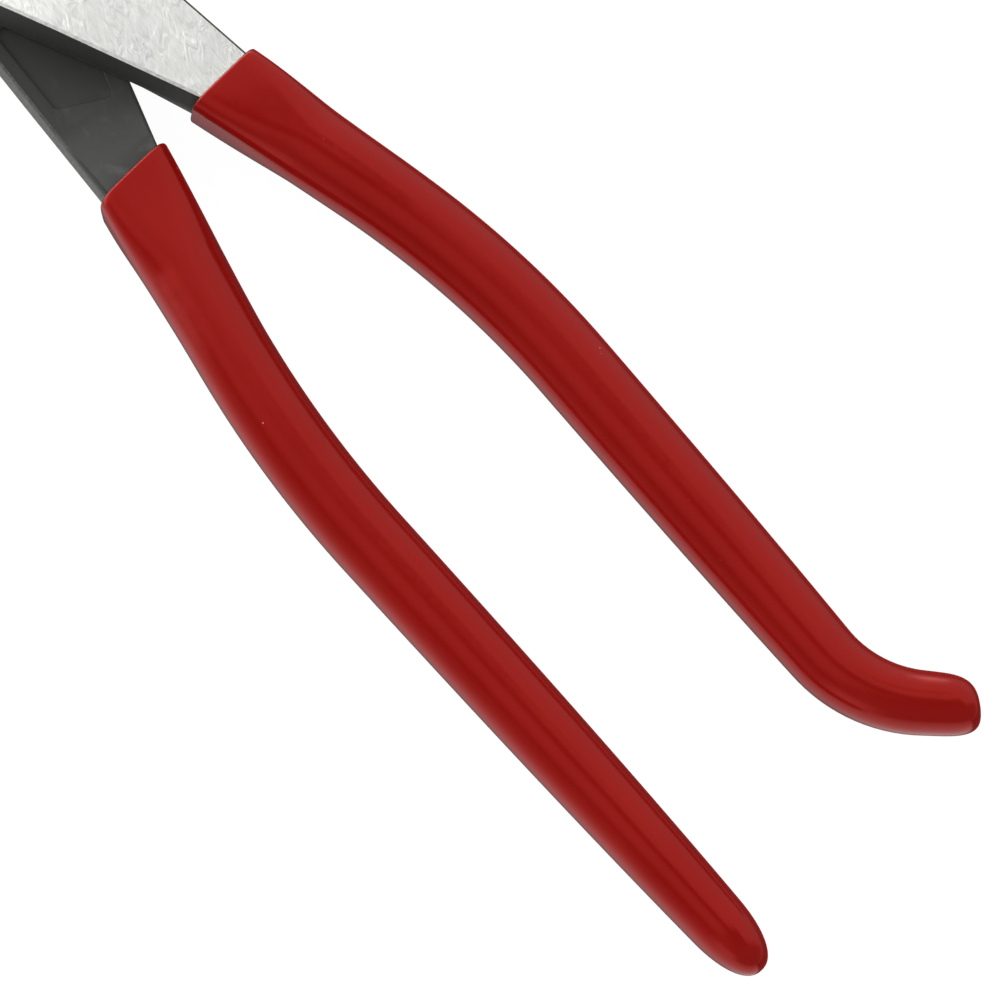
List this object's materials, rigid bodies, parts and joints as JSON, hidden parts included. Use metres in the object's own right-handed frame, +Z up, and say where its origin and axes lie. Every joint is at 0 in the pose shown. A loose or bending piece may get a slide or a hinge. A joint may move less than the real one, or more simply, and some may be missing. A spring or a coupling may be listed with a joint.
{
  "type": "diagonal cutting pliers",
  "caption": "Ironworker's diagonal cutting pliers with an angled head, riveted lap joint and red dipped grips, one bent into a hook.",
  "frame": {"origin": "centre of the rivet's lower face, on the pivot axis, in the plane that the joint rests on", "axes": "+X along the closed handles away from the head, +Y towards the hook handle, +Z up along the rivet's axis"},
  "size_m": [0.2334, 0.0594, 0.016],
  "materials": {
    "ground_steel": "belt-ground bright steel on the outer face, dark forging scale on the sides",
    "forged_steel": "dark satin forging scale, bright where it is ground",
    "rivet_steel": "ground flush with the joint's faces",
    "red_plastic": "smooth glossy dip-moulded vinyl"
  },
  "bodies": {
    "straight_side": {"straight_half": "forged_steel", "straight_grip": "red_plastic", "rivet": "rivet_steel"},
    "hook_side": {"hook_half": "ground_steel", "hook_grip": "red_plastic"}
  },
  "joints": [
    {"name": "pivot", "type": "hinge", "parent": "straight_side", "child": "hook_side", "pos_m": [0, 0, 0.008], "axis": [0, 0, 1], "range_deg": [0, 35]}
  ]
}
